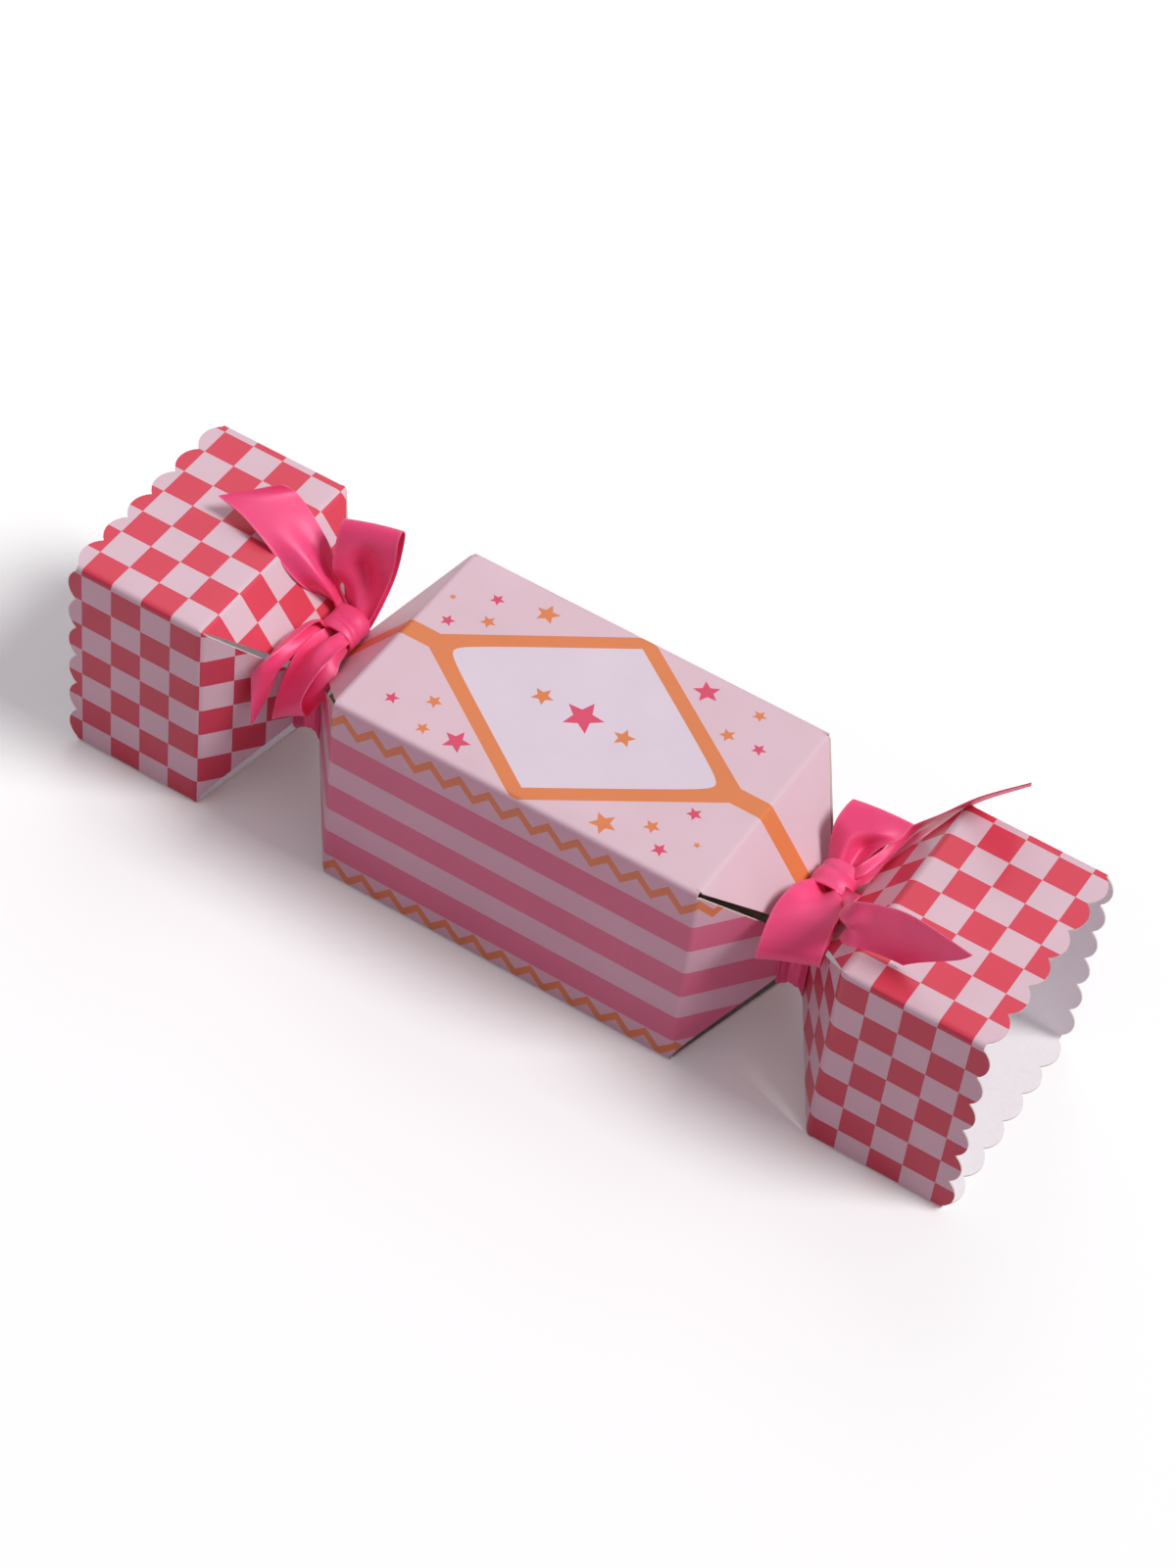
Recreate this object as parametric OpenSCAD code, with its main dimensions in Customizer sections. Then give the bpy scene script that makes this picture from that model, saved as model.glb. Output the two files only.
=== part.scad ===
// Christmas cracker: a square card box drawn in to a ribbon-tied neck near each end.
// Millimetres. +X runs along the box, -Y is its front, +Z is up.
// The origin is on the surface that the box lies on, under the middle of the body.

/* [Card box] */
// Width and height of the square box, outside
body_w = 63.5; // [58:0.5:70]
// Length of the body between its end creases
body_l = 101.6; // [92:0.2:120]
// Thickness of the printed card
card_t = 0.45; // [0.35:0.05:0.6]
// Outside radius of the four long folded edges
edge_r = 1.4; // [1:0.1:2]
// Width of the glued tab inside the long seam
glue_tab_w = 12; // [8:0.5:16]

/* [Necks] */
// Width of the square neck, outside
neck_w = 19; // [17:0.5:21]
// Straight length of the neck under the ribbon
neck_l = 4; // [3.5:0.5:6]
// Distance along the box from the body's crease to the neck
flap_run = 17.5; // [16:0.5:20]
// Distance along the box from the neck to the end's crease
flare_run = 17.5; // [16:0.5:20]
// Set-back of a flap's side edge from the box's edge at the crease
crease_inset = 1.5; // [1.2:0.1:2.5]
// Set-back of a flap's side edge from the neck's corner at the neck
neck_inset = 1.9; // [1.2:0.1:2.5]

/* [Scalloped ends] */
// Length of an end tube from its crease to the valleys of the scallops
end_l = 37; // [30:0.5:45]
// Radius of the soft crease round an end tube, at the middle of the card
crease_r = 2; // [1.5:0.1:3]
// Number of scallops on each side of the rim
scallop_count = 6; // [4:1:8]
// Height of a scallop above its valleys
scallop_rise = 2.4; // [1.5:0.1:3]

/* [Ribbon bows] */
// Width of the satin ribbon
ribbon_w = 15.9; // [15:0.1:16.5]
// Thickness of a ribbon strand
ribbon_t = 0.5; // [0.4:0.05:0.7]
// Thickness of the bunched ribbon band round the neck
band_t = 1.2; // [0.8:0.1:1.5]
// Distance that the band climbs each slope beside the neck
band_climb = 2; // [1.5:0.1:2.5]
// Half height of the knot
knot_r = 4.45; // [4:0.05:5]
// Width of the knot, along the box
knot_w = 11; // [10.5:0.1:12]
// Length of the knot, across the box
knot_l = 9.2; // [8.5:0.1:9.5]
// Distance of the knot behind the middle of the neck
knot_back = 3; // [2:0.1:4]

/* [Snap] */
// Width of a snap strip
snap_w = 10; // [8:0.5:12]
// Thickness of a snap strip
snap_t = 0.6; // [0.4:0.1:0.8]
// Overlap of the two strips
snap_overlap = 24; // [18:1:30]
// Length of the charge patch and of the abrasive patch
patch_l = 9; // [6:0.5:12]
// Thickness of a patch
patch_t = 0.15; // [0.1:0.05:0.2]
// Length of the paper sleeve round the overlap
sleeve_l = 20; // [15:1:26]
// Thickness of the sleeve's paper
sleeve_t = 0.3; // [0.2:0.05:0.4]

/* [Contents] */
// Length of the folded paper crown
crown_l = 78; // [60:1:84]
// Height of the folded paper crown, lying across the box
crown_h = 26; // [20:0.5:28]
// Number of points on the crown's folded edge
crown_points = 5; // [3:1:7]
// Thickness of one folded layer of the crown
crown_layer_t = 0.6; // [0.4:0.1:0.8]
// Length of the rolled motto slip
motto_l = 48; // [40:1:55]
// Outside radius of the rolled motto slip
motto_r = 3.8; // [3:0.1:4.5]
// Radius of the spinning top's disc
top_r = 8.5; // [6:0.5:9]
// Length of the spinning top, from its point to the end of its stem
top_l = 24; // [20:0.5:27]

/* [Hidden] */

// Facets of a full circle
round_fn = 48;
// Overrun of a cut, and of a piece that runs into the one it is fused to
overrun = 0.5;
// Gap between pieces that lie against each other
lie_gap = 0.3;
// Gap between a flap and the body at its crease
hinge_gap = 0.1;
// Gap where the neck has been perforated, between a flap's tip and the end sleeve
tear_gap = 0.3;

// The box
half_w = body_w / 2;
crease_x = body_l / 2;
neck_half = neck_w / 2;
neck_x = crease_x + flap_run;
neck_mid_x = neck_x + neck_l / 2;
flare_x = neck_x + neck_l;
end_x = flare_x + flare_run;
rim_x = end_x + end_l;
flap_fold = atan((half_w - neck_half) / flap_run);
flare_fold = atan((half_w - neck_half) / flare_run);
tab_end_gap = 2 * crease_inset;

// Arcs of a folded card strip
bend_steps = 6;

module on_side(k) {
    translate([0, 0, half_w]) rotate([90 * k, 0, 0]) children();
}

module at_end(s) {
    if (s < 0) mirror([1, 0, 0]) children();
    else children();
}

// Extrudes an outline drawn across the box along +X
module along_box(l) {
    rotate([90, 0, 90]) linear_extrude(l) children();
}

// Extrudes an outline drawn in the XZ plane across the box, about its middle
module across_box(w) {
    rotate([90, 0, 0]) linear_extrude(w, center = true) children();
}

module soft_square(w, r) {
    square([w - 2 * r, w], center = true);
    square([w, w - 2 * r], center = true);
    for (x = [-1, 1], y = [-1, 1]) {
        translate([x, y] * (w / 2 - r)) circle(r, $fn = round_fn);
    }
}

module tube_section() {
    difference() {
        soft_square(body_w, edge_r);
        soft_square(body_w - 2 * card_t, edge_r - card_t);
    }
}

// Glued tab inside the front panel, along the bottom seam
module glue_tab(l) {
    translate([0, card_t - half_w, edge_r - half_w]) {
        translate([0, -card_t / 2, 0]) cube([l, 3 * card_t / 2, glue_tab_w]);
    }
}

// A folded strip of card or paper: the two sides of a line, each with its bends rounded
function unit(v) = v / norm(v);
function left_of(v) = [-v.y, v.x];
function turn_of(a, b) = sign(a.x * b.y - a.y * b.x);
function bend_angle(a, b) = acos(max(-1, min(1, a * b)));

function offset_corner(p, a, b, d) =
    p + d * (left_of(a) + left_of(b)) / (1 + a * b);

function bend_arc(p, a, b, r) =
    let (turn = turn_of(a, b), angle = bend_angle(a, b), start = p - a * r * tan(angle / 2),
        centre = start + turn * r * left_of(a), spoke = start - centre)
    [for (i = [0 : bend_steps]) let (t = turn * angle * i / bend_steps)
        centre + [spoke.x * cos(t) - spoke.y * sin(t), spoke.x * sin(t) + spoke.y * cos(t)]];

function strip_side(line, radii, d) =
    let (last = len(line) - 1)
    [for (i = [0 : last])
        let (a = unit(i == 0 ? line[1] - line[0] : line[i] - line[i - 1]),
            b = unit(i == last ? line[last] - line[last - 1] : line[i + 1] - line[i]),
            corner = offset_corner(line[i], a, b, d),
            r = radii[i] - turn_of(a, b) * d)
        each (radii[i] == 0 ? [corner] : bend_arc(corner, a, b, r))];

function reversed(list) = [for (i = [len(list) - 1 : -1 : 0]) list[i]];

module folded_strip(line, radii, t) {
    polygon(concat(strip_side(line, radii, t / 2), reversed(strip_side(line, radii, -t / 2))));
}

// Body sleeve: the square tube with its glued seam tab
module body_sleeve() {
    color("#f0c8d6") {
        translate([-crease_x, 0, half_w]) {
            along_box(body_l) tube_section();
            translate([tab_end_gap, 0, 0]) glue_tab(body_l - 2 * tab_end_gap);
        }
    }
}

// Side edges of a neck flap or a flare, seen from above: wide at the crease, narrow at the neck
module flap_plan(wide_x, narrow_x) {
    wide = half_w - crease_inset;
    narrow = neck_half - neck_inset;
    way = sign(narrow_x - wide_x);
    past_wide = wide_x - way * edge_r;
    past_narrow = narrow_x + way * neck_l;
    polygon([
        [past_wide, wide], [wide_x, wide], [narrow_x, narrow], [past_narrow, narrow],
        [past_narrow, -narrow], [narrow_x, -narrow], [wide_x, -wide], [past_wide, -wide]
    ]);
}

// Neck flap of the right end's top side: a slab hinged on the inner edge of the body's crease
module neck_flap() {
    tip_x = flap_run - tear_gap;
    inner_l = tip_x / cos(flap_fold);
    outer_l = (tip_x - card_t * sin(flap_fold)) / cos(flap_fold);
    intersection() {
        translate([crease_x, 0, half_w - card_t]) rotate([0, flap_fold, 0]) across_box(body_w) {
            polygon([[hinge_gap, 0], [inner_l, 0], [outer_l, card_t], [hinge_gap, card_t]]);
        }
        linear_extrude(body_w) flap_plan(crease_x, neck_x);
    }
}

module neck_flap_at(s, k) {
    color(k % 2 == 0 ? "#f0c8d6" : "#e27a9b") at_end(s) on_side(k) neck_flap();
}

// End sleeve: neck tongues, flares and the scalloped tube, folded from one piece of card
module end_panel() {
    middle = card_t / 2;
    line = [
        [neck_x, neck_half - middle], [flare_x, neck_half - middle],
        [end_x, half_w - middle], [end_x + crease_r * tan(flare_fold / 2) + overrun, half_w - middle]
    ];
    intersection() {
        across_box(body_w) folded_strip(line, [0, card_t, crease_r, 0], card_t);
        linear_extrude(body_w) flap_plan(end_x, flare_x);
    }
}

module scallop_row() {
    flat_w = body_w - 2 * edge_r;
    pitch = flat_w / scallop_count;
    arc_r = (pitch * pitch / 4 + scallop_rise * scallop_rise) / (2 * scallop_rise);
    translate([0, 0, half_w - card_t]) linear_extrude(card_t) {
        translate([rim_x - overrun, -flat_w / 2]) square([overrun, flat_w]);
        intersection() {
            translate([rim_x, -flat_w / 2]) square([scallop_rise + overrun, flat_w]);
            for (i = [0 : scallop_count - 1]) {
                translate([rim_x + scallop_rise - arc_r, (i + 1 / 2) * pitch - flat_w / 2]) {
                    circle(arc_r, $fn = 2 * round_fn);
                }
            }
        }
    }
}

module end_sleeve(s) {
    tube_x = end_x + crease_r * tan(flare_fold / 2);
    color("#dc4a60") at_end(s) {
        translate([tube_x, 0, half_w]) along_box(rim_x - tube_x) tube_section();
        translate([tube_x, 0, half_w]) glue_tab(rim_x - tube_x - tab_end_gap);
        for (k = [0 : 3]) {
            on_side(k) end_panel();
            on_side(k) scallop_row();
        }
    }
}

// Ribbon band: a mitred square ring that fills the groove of the neck
function slope_clear(x) =
    neck_half - card_t + (card_t + lie_gap) / cos(flap_fold) + (x - neck_l / 2) * tan(flap_fold);

band_half = neck_l / 2 + band_climb;
band_foot = neck_l / 2 - lie_gap;
band_edge_r = slope_clear(band_half);
band_inner_r = neck_half + lie_gap;

// Square spindle about the box's axis, its half width given along the neck
module square_spindle(line) {
    outline = concat(line, [for (p = reversed(line)) [p.x, -p.y]]);
    intersection() {
        across_box(body_w) polygon(outline);
        linear_extrude(body_w, center = true) polygon(outline);
    }
}

// Outside of the band, its edges thinner than its middle
function band_top(grow) =
    let (edge = [band_half, band_edge_r + band_t / 2 + grow],
        shoulder = [band_half / 2, band_inner_r + 3 * band_t / 2 + grow])
    [
        [-edge.x, edge.y], [-shoulder.x, shoulder.y], [0, band_inner_r + band_t + grow],
        shoulder, edge
    ];

module ribbon_band(s) {
    inner = [
        [-band_half, band_edge_r], [-band_foot, band_inner_r],
        [band_foot, band_inner_r], [band_half, band_edge_r]
    ];
    color("#e8407f") at_end(s) translate([neck_mid_x, 0, half_w]) difference() {
        square_spindle(band_top(0));
        square_spindle(inner);
    }
}

// Knot: a rounded wrap across the neck, that all four strands come out of
knot_z = half_w + band_inner_r + band_t + lie_gap + knot_r;

module at_knot(s) {
    translate([s * neck_mid_x, knot_back, knot_z]) children();
}

module knot_form() {
    side_x = knot_w / 2 - knot_r;
    crown_r = knot_l / 4;
    crown_y = knot_l / 2 - crown_r;
    intersection() {
        across_box(knot_l) {
            square([2 * side_x, 2 * knot_r], center = true);
            for (x = [-side_x, side_x]) translate([x, 0]) circle(knot_r, $fn = round_fn);
        }
        translate([-knot_w / 2, 0, 0]) along_box(knot_w) {
            square([2 * crown_y, 2 * knot_r], center = true);
            square([knot_l, 2 * (knot_r - crown_r)], center = true);
            for (y = [-crown_y, crown_y], z = [crown_r - knot_r, knot_r - crown_r]) {
                translate([y, z]) circle(crown_r, $fn = round_fn);
            }
        }
    }
}

// The knot's underside follows the band and clears the slopes beside it
module ribbon_knot(s) {
    past_x = knot_w / 2 + overrun;
    past_r = slope_clear(past_x);
    color("#e0306f") difference() {
        at_knot(s) knot_form();
        translate([s * neck_mid_x, 0, half_w]) {
            square_spindle(concat([[-past_x, past_r]], band_top(lie_gap), [[past_x, past_r]]));
        }
    }
}

// Ribbon strand: a satin strip swept through stations. A station is its centre from the knot, the
// direction across the strip and the strip's width there. The width and the way along and across
// the box are shares of ribbon_w, and the height is a share of the rise from the knot to the box's top.
strand_steps = 5;
rise = body_w - knot_z;

function blend_of(a, b, c, d, t) =
    let (curve = (2 * a - 5 * b + 4 * c - d) * t * t, twist = (3 * b - a - 3 * c + d) * t * t * t)
    (2 * b + (c - a) * t + curve + twist) / 2;

function held(list, i) = list[max(0, min(len(list) - 1, i))];

function smooth(list) =
    [for (i = [0 : len(list) - 2], j = [0 : strand_steps - (i == len(list) - 2 ? 0 : 1)])
        blend_of(held(list, i - 1), list[i], list[i + 1], held(list, i + 2), j / strand_steps)];

module strand(station_shares) {
    centres = [for (p = smooth([for (q = station_shares) q[0]]))
        [p.x * ribbon_w, p.y * ribbon_w, p.z * rise]];
    across = [for (v = smooth([for (p = station_shares) p[1]])) unit(v)];
    widths = ribbon_w * smooth([for (p = station_shares) p[2]]);
    last = len(centres) - 1;
    rings = [for (i = [0 : last])
        let (run = centres[min(last, i + 1)] - centres[max(0, i - 1)],
            face = unit(cross(run, across[i])) * ribbon_t / 2,
            side = across[i] * widths[i] / 2)
        each [centres[i] - side - face, centres[i] + side - face,
            centres[i] + side + face, centres[i] - side + face]];
    walls = [for (i = [0 : last - 1], j = [0 : 3])
        let (a = 4 * i + j, b = 4 * i + (j + 1) % 4)
        each [[a, b, b + 4], [a, b + 4, a + 4]]];
    end = 4 * last;
    caps = [[0, 3, 2], [0, 2, 1], [end, end + 1, end + 2], [end, end + 2, end + 3]];
    polyhedron(concat(rings), concat(walls, caps));
}

// Left bow: upper loop stands up behind the knot, lower loop and one tail hang in front
loop_upper_left_shares = [
    [[0.05, 0.31, 0.18], [1, 0, 0.1], 0.5], [[0.05, 0.42, 0.5], [0.95, 0.2, 0.2], 0.66],
    [[0, 0.45, 0.97], [0.9, 0.36, 0.26], 1], [[-0.04, 0.58, 1.47], [0.95, 0.25, 0.2], 1],
    [[-0.08, 0.78, 1.61], [0.96, 0.2, 0.16], 1], [[-0.11, 0.92, 1.35], [0.96, 0.2, 0.1], 1],
    [[-0.06, 0.73, 0.63], [0.97, 0.2, 0], 0.85], [[0.05, 0.31, 0.01], [1, 0, 0], 0.5]
];
loop_lower_left_shares = [
    [[0.05, -0.31, 0.16], [1, 0, 0.2], 0.5], [[0.07, -0.85, 0.31], [0.85, 0.05, 0.5], 0.75],
    [[0.1, -1.32, 0.15], [0.7, -0.07, 0.7], 0.95], [[0.03, -1.55, -0.35], [0.62, -0.2, 0.76], 1],
    [[0.05, -1.54, -0.62], [0.72, -0.15, 0.68], 1], [[0.07, -1.37, -0.31], [0.83, -0.1, 0.5], 0.95],
    [[0.08, -0.88, 0.14], [0.94, 0, 0.28], 0.7], [[0.05, -0.31, 0.04], [1, 0, 0.1], 0.45]
];
tail_upper_left_shares = [
    [[-0.35, 0.31, 0.13], [0.3, 0, 0.95], 0.3], [[-0.62, 0.18, 0.64], [0.4, 0.85, 0.25], 0.62],
    [[-0.91, 0.21, 0.94], [0.48, 0.87, 0], 0.85], [[-1.35, 0.33, 1.19], [0.45, 0.88, 0], 0.95],
    [[-1.82, 0.48, 1.31], [0.52, 0.84, 0.05], 1], [[-2.14, 0.43, 1.43], [0.75, 0.63, 0.2], 1]
];
tail_lower_left_shares = [
    [[-0.33, -0.31, 0.14], [0.2, 0, -0.95], 0.3], [[-0.34, -0.94, 0.27], [0.1, 0.3, -0.95], 0.5],
    [[-0.43, -1.47, 0], [0, 0.36, -0.92], 0.92], [[-0.57, -1.7, -0.52], [0.13, -0.14, -0.98], 1]
];

// Right bow: both loops lie across the neck, one tail lies over the end, one stands behind it
loop_upper_right_shares = [
    [[-0.05, 0.31, 0.15], [1, 0, -0.1], 0.5], [[-0.03, 0.57, 0.36], [0.95, 0.25, -0.05], 0.7],
    [[0.06, 0.84, 0.53], [0.95, 0.28, -0.1], 1], [[0.11, 1.14, 0.65], [0.95, 0.15, -0.05], 1],
    [[0.09, 1.22, 0.48], [0.96, 0.12, -0.05], 0.95], [[0, 0.87, 0.26], [0.97, 0.1, -0.05], 0.7],
    [[-0.05, 0.31, -0.03], [1, 0, 0], 0.5]
];
loop_lower_right_shares = [
    [[-0.05, -0.31, 0.16], [1, 0, 0], 0.5], [[0.05, -0.72, 0.36], [0.98, 0.17, 0], 0.85],
    [[0.09, -1.19, 0.39], [0.95, 0.1, 0.2], 1], [[0.19, -1.71, 0.24], [0.93, 0.21, 0.25], 1],
    [[0.19, -1.7, 0.02], [0.93, 0.2, 0.25], 1], [[0.1, -1.17, 0.14], [0.95, 0.12, 0.22], 0.95],
    [[0.04, -0.7, 0.14], [0.98, 0.1, 0.1], 0.8], [[-0.05, -0.31, -0.01], [1, 0, 0], 0.5]
];
tail_front_right_shares = [
    [[0.38, -0.31, 0.2], [0.1, 0, -0.95], 0.28], [[0.68, -0.9, 0.74], [0.12, -0.12, -0.95], 0.6],
    [[0.93, -1.69, 1.42], [0.08, -0.05, -0.98], 0.78], [[1.35, -1.66, 1.56], [0, -0.05, -1], 0.97],
    [[1.88, -1.6, 1.58], [-0.1, -0.08, -1], 1], [[2.39, -1.66, 1.56], [-0.71, 0.05, -0.7], 1.42]
];
tail_back_right_shares = [
    [[0.33, 0.32, 0.16], [0.2, 0, -0.95], 0.3], [[0.42, 0.9, 0.13], [0, 0.52, -0.85], 0.4],
    [[0.52, 1.52, 0.06], [-0.05, 0.52, -0.85], 0.82], [[0.85, 1.78, 0.48], [-0.12, 0.56, -0.82], 1],
    [[1.32, 1.87, 1.12], [-0.2, 0.58, -0.79], 1], [[2.02, 1.9, 1.85], [-0.2, 0.62, -0.75], 1]
];

module ribbon_strand(s, station_shares) {
    color("#e8407f") at_knot(s) strand(station_shares);
}

// Snap: two card strips glued to the floor of the necks, overlapping in a paper sleeve
floor_z = half_w - neck_half + card_t;
patch_gap = lie_gap / 2;
snap_lift = snap_t + 2 * patch_t + patch_gap;
lap_x = snap_overlap / 2;

module snap_strip_left() {
    color("#b9a184") translate([-flare_x, -snap_w / 2, floor_z]) cube([flare_x + lap_x, snap_w, snap_t]);
}

// The right strip steps up to lie over the left one
module snap_strip_right() {
    low = floor_z + snap_t / 2;
    line = [
        [flare_x, low], [crease_x, low], [crease_x - lap_x, low + snap_lift], [-lap_x, low + snap_lift]
    ];
    color("#b9a184") across_box(snap_w) folded_strip(line, [0, snap_w, snap_w, 0], snap_t);
}

module snap_patch(z) {
    translate([-patch_l / 2, -snap_w / 2 + patch_t, z]) cube([patch_l, snap_w - 2 * patch_t, patch_t]);
}

module snap_charge_patch() {
    color("#8d8f94") snap_patch(floor_z + snap_t);
}

module snap_abrasive_patch() {
    color("#6b4a3a") snap_patch(floor_z + snap_t + patch_t + patch_gap);
}

module snap_sleeve() {
    inner_w = snap_w + 2 * lie_gap;
    inner_h = snap_lift + snap_t + 2 * lie_gap;
    color("#d8c7a6") translate([-sleeve_l / 2, 0, floor_z - lie_gap + inner_h / 2]) along_box(sleeve_l) {
        difference() {
            square([inner_w + 2 * sleeve_t, inner_h + 2 * sleeve_t], center = true);
            square([inner_w, inner_h], center = true);
        }
    }
}

// Gap between the crown and the glued tab beside it
gift_gap = 4;

// Paper crown: folded flat in fanned layers, its points towards the back
crown_layers = 3;
crown_fan = crown_layer_t * 2;
crown_y = gift_gap + 2 * card_t - half_w;
crown_valley_share = 0.55;

module crown_layer() {
    pitch = crown_l / crown_points;
    end = crown_l / 2;
    valley = crown_h * crown_valley_share;
    teeth = [for (i = [0 : crown_points - 1], j = [0, 1])
        [end - (i + j / 2) * pitch, j == 0 ? valley : crown_h]];
    polygon(concat([[-end, 0], [end, 0]], teeth, [[-end, valley]]));
}

module paper_crown() {
    color("#7fb6a8") for (i = [0 : crown_layers - 1]) {
        translate([i * crown_fan, crown_y, card_t + i * crown_layer_t]) {
            linear_extrude(crown_layer_t) crown_layer();
        }
    }
}

// Motto slip: rolled up, lying along the floor
motto_turns = 2.4;
motto_gap = 3 * lie_gap;
motto_y = half_w - card_t - 2 * motto_r;
roll_steps = 40;

module motto_roll() {
    pitch = motto_gap + lie_gap;
    angles = [for (i = [0 : roll_steps]) 360 * motto_turns * i / roll_steps];
    outer = [for (a = angles) (motto_r - pitch * a / 360) * [cos(a - 90), sin(a - 90)]];
    inner = [for (a = angles) (motto_r - lie_gap - pitch * a / 360) * [cos(a - 90), sin(a - 90)]];
    color("#f4efe2") translate([-motto_l * 3 / 4, motto_y, card_t + motto_r]) along_box(motto_l) {
        polygon(concat(outer, reversed(inner)));
    }
}

// Spinning top: turned in one piece, lying on its disc's rim and the end of its stem
stem_r = top_r / 5;
point_l_share = 0.3;
disc_l_share = 0.2;
top_x = crease_x / 2;

module spinning_top() {
    disc_low = top_l * point_l_share;
    disc_high = disc_low + top_l * disc_l_share;
    tilt = asin((top_r - stem_r) / norm([top_l - disc_high, top_r - stem_r]));
    color("#c98b4a") translate([top_x, motto_y - top_r / 4, card_t]) {
        rotate([0, 90 + tilt, 0]) translate([-top_r, 0, -disc_high]) rotate_extrude($fn = round_fn) {
            polygon([
                [0, 0], [stem_r / 2, stem_r / 2], [stem_r, disc_low / 2], [top_r - stem_r, disc_low],
                [top_r, disc_low + stem_r], [top_r, disc_high],
                [top_r - stem_r, disc_high + stem_r / 2], [stem_r, disc_high + stem_r],
                [stem_r * 2 / 3, top_l - 2 * stem_r], [stem_r, top_l - stem_r],
                [stem_r, top_l], [0, top_l]
            ]);
        }
    }
}

body_sleeve();
neck_flap_at(-1, 0);  // flap_left_top
neck_flap_at(-1, 1);  // flap_left_front
neck_flap_at(-1, 2);  // flap_left_bottom
neck_flap_at(-1, 3);  // flap_left_back
neck_flap_at(1, 0);  // flap_right_top
neck_flap_at(1, 1);  // flap_right_front
neck_flap_at(1, 2);  // flap_right_bottom
neck_flap_at(1, 3);  // flap_right_back
end_sleeve(-1);  // end_sleeve_left
end_sleeve(1);  // end_sleeve_right
ribbon_band(-1);  // ribbon_band_left
ribbon_knot(-1);  // ribbon_knot_left
ribbon_strand(-1, loop_upper_left_shares);  // ribbon_loop_upper_left
ribbon_strand(-1, loop_lower_left_shares);  // ribbon_loop_lower_left
ribbon_strand(-1, tail_upper_left_shares);  // ribbon_tail_upper_left
ribbon_strand(-1, tail_lower_left_shares);  // ribbon_tail_lower_left
ribbon_band(1);  // ribbon_band_right
ribbon_knot(1);  // ribbon_knot_right
ribbon_strand(1, loop_upper_right_shares);  // ribbon_loop_upper_right
ribbon_strand(1, loop_lower_right_shares);  // ribbon_loop_lower_right
ribbon_strand(1, tail_front_right_shares);  // ribbon_tail_front_right
ribbon_strand(1, tail_back_right_shares);  // ribbon_tail_back_right
snap_strip_left();
snap_strip_right();
snap_charge_patch();
snap_abrasive_patch();
snap_sleeve();
paper_crown();
motto_roll();
spinning_top();
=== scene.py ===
import math
import bpy
from mathutils import Matrix, Vector


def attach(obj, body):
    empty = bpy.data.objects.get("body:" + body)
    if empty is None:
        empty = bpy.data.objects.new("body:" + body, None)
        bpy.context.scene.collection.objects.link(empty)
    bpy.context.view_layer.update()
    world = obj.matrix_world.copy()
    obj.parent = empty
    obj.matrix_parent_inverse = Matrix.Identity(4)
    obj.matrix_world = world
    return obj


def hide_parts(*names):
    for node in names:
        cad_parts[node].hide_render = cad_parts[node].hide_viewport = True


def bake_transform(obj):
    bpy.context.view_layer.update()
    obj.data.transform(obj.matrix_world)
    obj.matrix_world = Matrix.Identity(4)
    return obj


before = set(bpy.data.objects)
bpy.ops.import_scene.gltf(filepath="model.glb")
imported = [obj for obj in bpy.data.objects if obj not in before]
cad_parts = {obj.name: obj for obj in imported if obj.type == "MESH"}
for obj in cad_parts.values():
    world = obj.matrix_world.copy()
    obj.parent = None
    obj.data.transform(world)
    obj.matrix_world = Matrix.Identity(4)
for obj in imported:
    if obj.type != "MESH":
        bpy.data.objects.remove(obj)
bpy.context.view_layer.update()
mm = 0.001
print("frame loaded:", len(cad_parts), "nodes")

# the folded card box, in millimetres
card = {
    "width": 63.5,          # outside, square
    "length": 101.6,        # body, crease to crease
    "thickness": 0.45,
    "edgeRadius": 1.4,      # the four long folds
    "bodyCrease": 2.2,      # soft fold where a flap leaves the body
    "endCrease": 3.2,       # soft fold where a flare meets its end tube
    "neckCrease": 0.25,     # sharp fold where a flare leaves the neck
    "foldStart": 49.6,      # the body's flat walls end here and the flaps' own strips begin
    "neck": 19.0,
    "neckLength": 4.0,
    "run": 17.5,            # along the box, crease to neck
    "tear": 0.3,            # the perforation, opened by a hair
    "creaseInset": 0.55,    # the slits between the sloping panels: hardly open at the crease
    "neckInset": 1.9,       # and wider at the neck
    "under": 1.0,           # the panels underneath are this much wider at the neck, on each side
    # the sloping panels at the front and back stop this much short of the ones underneath
    "lowerTrim": {"body": 2.2, "left": 2.2, "right": 0.0},
    "trimGrowth": 1.2,      # from the crease to where that trim is full
    "shoulder": 0.95,       # each edge of a flap is set in by this where it bends between the long folds
    "shoulderHold": 0.05,   # as far as this beyond the crease
    "shoulderFade": 0.7,    # and the rest of the shoulder's way
    "foldLead": 1.2,        # an end tube's long folds begin this far before its crease
    "endLength": 37.0,
    "scallops": 6,
    "scallopRise": 2.4,
    "rimStrip": 0.6,        # the last strip of the end tube, which carries the scallops
    "tabWidth": 12.0,
    "tabGap": 0.02,         # between the seam's tab and the wall that it is glued to
    "tabBevel": 0.1,
}

half = card["width"] / 2
creaseX = card["length"] / 2
neckX = creaseX + card["run"]
flareX = neckX + card["neckLength"]
endX = flareX + card["run"]
rimX = endX + card["endLength"]
bowX = neckX + card["neckLength"] / 2
flatHalf = half - card["edgeRadius"]
slope = math.atan((half - card["neck"] / 2) / card["run"])

bpy.context.tool_settings.mesh_select_mode = (False, False, True)
# the sides in quarter turns round the box from the top, and the ends by the sign of their x
sides = {"top": 0, "front": 1, "bottom": 2, "back": 3}
ends = {"left": -1, "right": 1}


def clamped(share):
    return min(1.0, max(0.0, share))


def deselectAll():
    if bpy.context.object and bpy.context.object.mode != "OBJECT":
        bpy.ops.object.mode_set(mode="OBJECT")
    bpy.ops.object.select_all(action="DESELECT")


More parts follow.
